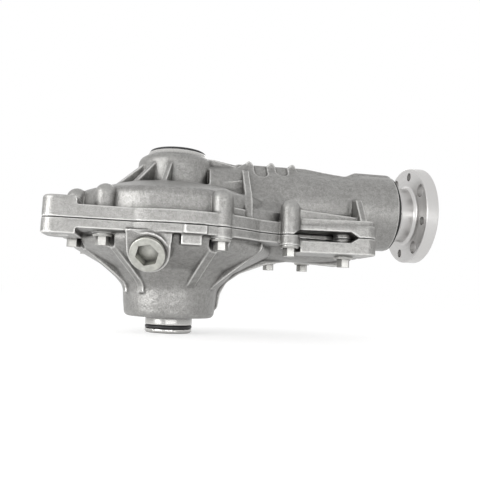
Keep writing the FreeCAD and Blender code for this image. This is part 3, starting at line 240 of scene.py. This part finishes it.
class Shader(Tree):
    """Material with one Principled surface, whose patterns stay on the piece when it moves."""

    def __init__(self, name):
        self.material = bpy.data.materials.new(name)
        super().__init__(self.material)
        self.bsdf = self.add("ShaderNodeBsdfPrincipled")
        self.link(self.bsdf.outputs[0], self.add("ShaderNodeOutputMaterial").inputs["Surface"])
        self.place = self.add("ShaderNodeTexCoord").outputs["Object"]

    def noise(self, layer, vector=None):
        node = self.add("ShaderNodeTexNoise")
        for name, number in zip(("Scale", "Detail", "Roughness"), layer):
            node.inputs[name].default_value = number
        self.link(vector or self.place, node.inputs["Vector"])
        return node.outputs["Fac"]

    def parts(self, vector):
        """The outputs X, Y and Z of a vector."""
        node = self.add("ShaderNodeSeparateXYZ")
        self.link(vector, node.inputs[0])
        return node.outputs

    def span(self, value, low, high, to_low, to_high):
        """A value mapped from one range to another and held inside it."""
        node = self.add("ShaderNodeMapRange")
        limits = {"From Min": low, "From Max": high, "To Min": to_low, "To Max": to_high}
        for name, number in limits.items():
            node.inputs[name].default_value = number
        self.link(value, node.inputs["Value"])
        return node.outputs["Result"]

    def mix(self, factor, a, b):
        node = self.add("ShaderNodeMix", data_type="RGBA")
        self.link(factor, node.inputs["Factor"])
        colours = [s for s in node.inputs if s.type == "RGBA"]
        for socket, value in zip(colours, (a, b)):
            if isinstance(value, tuple):
                socket.default_value = (*value, 1.0)
            else:
                self.link(value, socket)
        return [s for s in node.outputs if s.type == "RGBA"][0]

    def painted_hollow_shade(self, base):
        """The base colour with painted shade, darker where the surface lies deep in a hollow."""
        hollow = self.add("ShaderNodeAmbientOcclusion", samples=SHADE_SAMPLES)
        hollow.inputs["Distance"].default_value = SHADE_REACH
        return self.mix(self.span(hollow.outputs["AO"], *HOLLOW_SHADE_SHARE), base, PAINTED_SHADE)

    def surface(self, base, metallic, rough):
        """Colour, share of metal and roughness of the surface."""
        self.link(base, self.bsdf.inputs["Base Color"])
        self.bsdf.inputs["Metallic"].default_value = metallic
        self.link(rough, self.bsdf.inputs["Roughness"])

    def bump(self, height, strength, distance):
        node = self.add("ShaderNodeBump")
        node.inputs["Strength"].default_value = strength
        node.inputs["Distance"].default_value = distance
        self.link(height, node.inputs["Height"])
        self.link(node.outputs["Normal"], self.bsdf.inputs["Normal"])


def toned(colour, share):
    """A darker tone of a colour."""
    return tuple(c * share for c in colour)


def cast_aluminium(name, machined, seam=None):
    """Raw cast aluminium: fine grain, soft blotches, painted shade in hollows and creases, rubbed edges with
    painted highlights, turned faces.

    machined lists (axis, limit, side): what lies beyond the limit is turned. seam is the height of a dark
    joint line.
    """
    s = Shader(name)
    place = s.parts(s.place)
    turned = 0.0
    for axis, limit, side in machined:
        beyond = s.span(place[axis], limit, limit + side * TURNED_FADE, 0.0, 1.0)
        turned = s.math("MAXIMUM", beyond, turned)
    cloud, blotch, speck, grain = (s.noise(layer) for layer in (CLOUD, BLOTCH, SPECK, GRAIN))
    base = s.mix(s.span(cloud, *EVENLY), CAST_DARK, CAST_LIGHT)
    base = s.mix(s.span(blotch, *BLOTCH_SHARE), base, CAST_STAIN)
    base = s.mix(s.span(speck, *SPECK_SHARE), base, CAST_STAIN)
    base = s.mix(s.span(grain, *GRAIN_SHARE), base, CAST_PALE_AND_HIGHLIGHT)
    base = s.mix(turned, base, TURNED)
    # Painted shade darkens hollows and creases, and outer edges get painted highlights along with rubbed
    # wear.
    base = s.painted_hollow_shade(base)
    edge = s.add("ShaderNodeNewGeometry").outputs["Pointiness"]
    base = s.mix(s.span(edge, *CREASE_SHADE_SHARE), base, PAINTED_SHADE)
    base = s.mix(s.span(edge, *RUBBED_EDGE_HIGHLIGHT_SHARE), base, CAST_PALE_AND_HIGHLIGHT)
    if seam is not None:
        depth = s.math("SUBTRACT", place["Z"], seam)
        base = s.mix(s.span(depth, *SEAM_SHARE), base, SEAM)
    rough = s.span(grain, NOISE_LOW, NOISE_HIGH, *CAST_ROUGH)
    rough = s.math("SUBTRACT", rough, s.math("MULTIPLY", turned, TURNED_SMOOTHER))
    s.surface(base, CAST_METALLIC, rough)
    height = s.math("ADD", s.math("MULTIPLY", grain, GRAIN_HEIGHT), speck)
    height = s.math("ADD", height, s.math("MULTIPLY", blotch, BLOTCH_HEIGHT))
    s.bump(s.math("MULTIPLY", height, s.math("SUBTRACT", 1.0, turned)), *CAST_BUMP)
    return s.material


def turned_metal(name, colour, axis, centre):
    """Machined metal with fine rings around an axis through a centre."""
    s = Shader(name)
    shift = s.add("ShaderNodeVectorMath", operation="SUBTRACT")
    s.link(s.place, shift.inputs[0])
    shift.inputs[1].default_value = centre
    place = s.parts(shift.outputs[0])
    squares = [s.math("MULTIPLY", place[a], place[a]) for a in "XYZ" if a != axis]
    rings = s.add("ShaderNodeCombineXYZ")
    s.link(place[axis], rings.inputs[0])
    s.link(s.math("SQRT", s.math("ADD", *squares)), rings.inputs[1])
    lines = s.noise(TOOL_LINES, rings.outputs[0])
    base = s.mix(s.span(lines, *EVENLY), toned(colour, LINE_TONE), colour)
    share = s.span(s.noise(TURNED_BLOTCH), *TURNED_BLOTCH_SHARE)
    base = s.mix(share, base, toned(colour, BLOTCH_TONE))
    s.surface(base, METALLIC, s.span(lines, NOISE_LOW, NOISE_HIGH, *TURNED_ROUGH))
    s.bump(lines, *TURNED_BUMP)
    return s.material


def plain_metal(name, colour, roughness, metallic):
    """Plated, ground, cast or bronze metal with a faint mottle and painted shade in its hollows."""
    s = Shader(name)
    base = s.mix(s.span(s.noise(MOTTLE), *EVENLY), toned(colour, MOTTLE_TONE), colour)
    fine = s.noise(FINE_GRAIN)
    rough = s.span(fine, NOISE_LOW, NOISE_HIGH, roughness, roughness + PLAIN_ROUGH_RANGE)
    # The colour carries painted shade in the hollows.
    s.surface(s.painted_hollow_shade(base), metallic, rough)
    s.bump(fine, *PLAIN_BUMP)
    return s.material


def rubber():
    """Black rubber with a cloudy sheen."""
    s = Shader("black_rubber")
    cloud = s.noise(RUBBER_CLOUD)
    base = s.mix(s.span(cloud, NOISE_LOW, NOISE_HIGH, 0.0, 1.0), RUBBER_DARK, RUBBER_LIGHT)
    s.surface(base, 0.0, s.span(cloud, NOISE_LOW, NOISE_HIGH, *RUBBER_ROUGH))
    s.bump(s.noise(RUBBER_GRAIN), *RUBBER_BUMP)
    return s.material


def dress(material, *meshes):
    """Give every face of some meshes one material."""
    for data in meshes:
        data.materials.clear()
        data.materials.append(material)
        data.polygons.foreach_set("material_index", np.zeros(len(data.polygons), np.int32))


def dress_nodes(material, names):
    """Give every face of some nodes one material."""
    dress(material, *(nodes[name].data for name in names))


def evaluated(obj):
    """Mesh of an object with its modifiers applied."""
    graph = bpy.context.evaluated_depsgraph_get()
    return bpy.data.meshes.new_from_object(obj.evaluated_get(graph))


def applied(piece):
    """Put an object's modified mesh in the place of its own and drop the modifiers."""
    old, new = piece.data, evaluated(piece)
    piece.modifiers.clear()
    piece.data = new
    bpy.data.meshes.remove(old)
    return new


def casting(node, sharp):
    """Soften a casting: remesh its node finely, then melt the edges away where the metal is as cast."""
    piece = bpy.data.objects.new(node + "_cast", nodes[node].data.copy())
    bpy.context.scene.collection.objects.link(piece)
    remesh = piece.modifiers.new("remesh", "REMESH")
    remesh.mode = "VOXEL"
    remesh.voxel_size = VOXEL
    fine = applied(piece)
    place = np.zeros(len(fine.vertices) * 3, np.float32)
    fine.vertices.foreach_get("co", place)
    soft = 1.0 - sharp(place.reshape(-1, 3))
    group = piece.vertex_groups.new(name="cast")
    for level in np.unique(soft):
        group.add(np.nonzero(soft == level)[0].tolist(), float(level), "REPLACE")
    smooth = piece.modifiers.new("smooth", "SMOOTH")
    smooth.iterations = SMOOTH_PASSES
    smooth.factor = SMOOTH_FACTOR
    smooth.vertex_group = "cast"
    melted = applied(piece)
    melted.polygons.foreach_set("use_smooth", np.ones(len(melted.polygons), bool))
    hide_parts(node)
    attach(piece, "housing")
    return piece


def machined_on_cover(place):
    """How firmly each vertex is held: more on the turned spigot, 0 on raw casting."""
    return (place[:, 2] < SPIGOT_TOP).astype(np.float32) * TURNED_HOLD


def machined_on_housing(place):
    """How firmly each vertex is held: more near the turned end of the neck, 0 on raw casting."""
    return (place[:, 0] > NECK_END - NECK_TURNED).astype(np.float32) * TURNED_HOLD


def lamp(name, place, aim, size, power):
    """Rectangular lamp that shines from its place towards a point."""
    data = bpy.data.lights.new(name, "AREA")
    data.shape = "RECTANGLE"
    data.size, data.size_y = size
    data.energy = power
    obj = bpy.data.objects.new(name, data)
    obj.location = place
    obj.rotation_euler = (Vector(aim) - Vector(place)).to_track_quat("-Z", "Y").to_euler()
    bpy.context.scene.collection.objects.link(obj)


def ground():
    """Pale floor under the object, white to the camera except in the object's shadow."""
    data = bpy.data.meshes.new("floor")
    corners = ((-1, -1), (1, -1), (1, 1), (-1, 1))
    places = [(x * FLOOR_REACH, y * FLOOR_REACH, FLOOR_Z) for x, y in corners]
    data.from_pydata(places, [], [(0, 1, 2, 3)])
    floor = bpy.data.objects.new("floor", data)
    bpy.context.scene.collection.objects.link(floor)
    material = bpy.data.materials.new("floor")
    tree = Tree(material)
    diffuse = tree.add("ShaderNodeBsdfDiffuse")
    diffuse.inputs["Color"].default_value = (FLOOR_GREY, FLOOR_GREY, FLOOR_GREY, 1)
    glow = tree.add("ShaderNodeEmission")
    tree.link(tree.math("MULTIPLY", tree.seen_white(), FLOOR_GLOW), glow.inputs["Strength"])
    both = tree.add("ShaderNodeAddShader")
    tree.link(diffuse.outputs[0], both.inputs[0])
    tree.link(glow.outputs[0], both.inputs[1])
    tree.link(both.outputs[0], tree.add("ShaderNodeOutputMaterial").inputs["Surface"])
    data.materials.append(material)


def world():
    """Even white light from all round, brighter where it is seen than where it falls."""
    scene_world = bpy.data.worlds.new("world")
    bpy.context.scene.world = scene_world
    tree = Tree(scene_world)
    mix = tree.add("ShaderNodeMixShader")
    tree.link(tree.seen_white(), mix.inputs[0])
    for socket, strength in ((mix.inputs[1], WORLD_LIGHT), (mix.inputs[2], 1.0)):
        background = tree.add("ShaderNodeBackground")
        background.inputs["Color"].default_value = (1, 1, 1, 1)
        background.inputs["Strength"].default_value = strength
        tree.link(background.outputs[0], socket)
    tree.link(mix.outputs[0], tree.add("ShaderNodeOutputWorld").inputs["Surface"])


def light():
    """The four lamps."""
    for name, settings in LAMPS.items():
        lamp(name, *settings)


def materials():
    """Soften the two castings, then dress them and every node."""
    housing = casting("upper_housing", machined_on_housing)
    cover = casting("lower_cover", machined_on_cover)
    looks = ((housing, cast_aluminium("cast_housing", HOUSING_TURNED)),
             (cover, cast_aluminium("cast_cover", COVER_TURNED, SPLIT_Z)))
    for piece, look in looks:
        dress(look, piece.data)
    for name, (*look, names) in TURNED_METALS.items():
        dress_nodes(turned_metal(name, *look), names)
    for name, (*look, names) in PLAIN_METALS.items():
        dress_nodes(plain_metal(name, *look), names)
    dress_nodes(rubber(), RUBBERS)


camera()
world()
light()
ground()
materials()
bpy.context.scene.view_settings.view_transform = "Standard"
